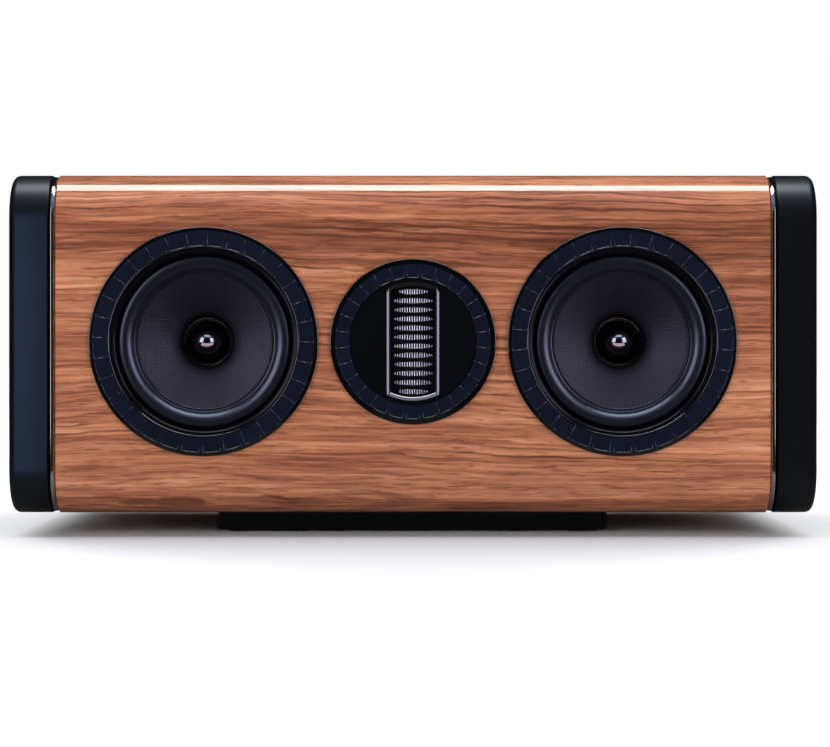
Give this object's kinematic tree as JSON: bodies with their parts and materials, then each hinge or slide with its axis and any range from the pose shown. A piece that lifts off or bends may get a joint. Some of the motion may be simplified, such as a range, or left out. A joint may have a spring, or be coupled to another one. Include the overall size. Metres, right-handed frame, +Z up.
{
  "type": "center channel speaker",
  "caption": "Horizontal loudspeaker for under a screen: bass drivers either side of a pleated ribbon tweeter, in a rounded walnut cabinet with black end cheeks and a plinth.",
  "frame": {"origin": "on the floor under the feet, at the middle of the whole speaker's width and depth", "axes": "+X towards the listener's right along the cabinet, the front faces -Y, +Z up"},
  "size_m": [0.53, 0.356, 0.239],
  "materials": {
    "walnut_veneer": "figured walnut veneer under gloss lacquer",
    "fibreboard": "raw fibreboard",
    "cheek_black": "satin black lacquer on fibreboard",
    "plinth_black": "satin black lacquer on fibreboard",
    "bright_band": "polished",
    "foot_rubber": "matt",
    "ring_black": "black, satin in its pockets",
    "basket_grey": "cast, powder coated",
    "surround_rubber": "satin",
    "cone_weave": "woven fibre with a satin coat",
    "coil_copper": "enamelled copper wire",
    "spider_cloth": "resin-dipped cloth",
    "plug_black": "gloss black",
    "motor_steel": "zinc plated",
    "ferrite": "sintered, matt",
    "gasket_foam": "closed-cell foam",
    "screw_steel": "black oxide",
    "lug_board": "laminate",
    "faceplate_black": "satin black",
    "grille_black": "matt black",
    "silver_foil": "bright pleated foil",
    "cup_plastic": "moulded",
    "capacitor_film": "wound film sleeve",
    "resistor_cement": "cement",
    "cable_sheath": "soft sheath",
    "terminal_black": "fine texture",
    "post_brass": "gold plated",
    "cap_red": "translucent red",
    "cap_black": "black",
    "port_plastic": "moulded, satin",
    "damping_foam": "open-cell foam"
  },
  "bodies": {
    "cabinet": {"front_baffle": "walnut_veneer", "top_panel": "walnut_veneer", "bottom_panel": "walnut_veneer", "rear_panel": "walnut_veneer", "plinth": "plinth_black", "plinth_screws": "screw_steel", "plinth_feet": "foot_rubber", "driver_gaskets": "gasket_foam", "driver_screws": "screw_steel", "driver_lug_boards": "lug_board", "tweeter_trim_ring": "ring_black", "tweeter_faceplate": "faceplate_black", "tweeter_grille": "grille_black", "tweeter_diaphragm": "silver_foil", "tweeter_magnets": "ferrite", "tweeter_back_plate": "motor_steel", "tweeter_rear_cup": "cup_plastic", "crossover_board": "fibreboard", "crossover_inductors": "coil_copper", "crossover_capacitors": "capacitor_film", "crossover_resistors": "resistor_cement", "internal_cables": "cable_sheath", "terminal_plate": "terminal_black", "terminal_screws": "screw_steel", "post_studs": "post_brass", "post_nuts": "post_brass", "port_tube": "port_plastic", "damping_foam": "damping_foam", "left_end_board": "fibreboard", "left_brace": "fibreboard", "left_cheek": "cheek_black", "left_trim_band": "bright_band", "left_trim_ring": "ring_black", "left_basket": "basket_grey", "left_surround": "surround_rubber", "left_spider": "spider_cloth", "left_phase_plug": "plug_black", "left_top_plate": "motor_steel", "left_magnet": "ferrite", "left_pole_yoke": "motor_steel", "right_end_board": "fibreboard", "right_brace": "fibreboard", "right_cheek": "cheek_black", "right_trim_band": "bright_band", "right_trim_ring": "ring_black", "right_basket": "basket_grey", "right_surround": "surround_rubber", "right_spider": "spider_cloth", "right_phase_plug": "plug_black", "right_top_plate": "motor_steel", "right_magnet": "ferrite", "right_pole_yoke": "motor_steel"},
    "left_diaphragm": {"left_cone": "cone_weave", "left_voice_coil": "coil_copper"},
    "right_diaphragm": {"right_cone": "cone_weave", "right_voice_coil": "coil_copper"},
    "red_washer": {"red_clamp_washer": "post_brass"},
    "red_cap": {"red_post_cap": "cap_red"},
    "black_washer": {"black_clamp_washer": "post_brass"},
    "black_cap": {"black_post_cap": "cap_black"}
  },
  "joints": [
    {"name": "left_cone_travel", "type": "slide", "parent": "cabinet", "child": "left_diaphragm", "axis": [0, -1, 0], "range_m": [-0.004, 0.004], "stiffness_N_per_m": 1250, "deforming": ["left_surround", "left_spider"]},
    {"name": "right_cone_travel", "type": "slide", "parent": "cabinet", "child": "right_diaphragm", "axis": [0, -1, 0], "range_m": [-0.004, 0.004], "stiffness_N_per_m": 1250, "deforming": ["right_surround", "right_spider"]},
    {"name": "red_cap_travel", "type": "slide", "parent": "cabinet", "child": "red_washer", "axis": [0, 1, 0], "range_m": [0, 0.005]},
    {"name": "red_cap_turn", "type": "hinge", "parent": "red_washer", "child": "red_cap", "pos_m": [-0.019, 0.165, 0.075], "axis": [0, 1, 0], "range_deg": [0, 1800]},
    {"name": "black_cap_travel", "type": "slide", "parent": "cabinet", "child": "black_washer", "axis": [0, 1, 0], "range_m": [0, 0.005]},
    {"name": "black_cap_turn", "type": "hinge", "parent": "black_washer", "child": "black_cap", "pos_m": [0.019, 0.165, 0.075], "axis": [0, 1, 0], "range_deg": [0, 1800]}
  ],
  "couplings": [
    {"joint": "red_cap_turn", "follows": "red_cap_travel", "rad_per_m": 6283.2},
    {"joint": "black_cap_turn", "follows": "black_cap_travel", "rad_per_m": 6283.2}
  ]
}
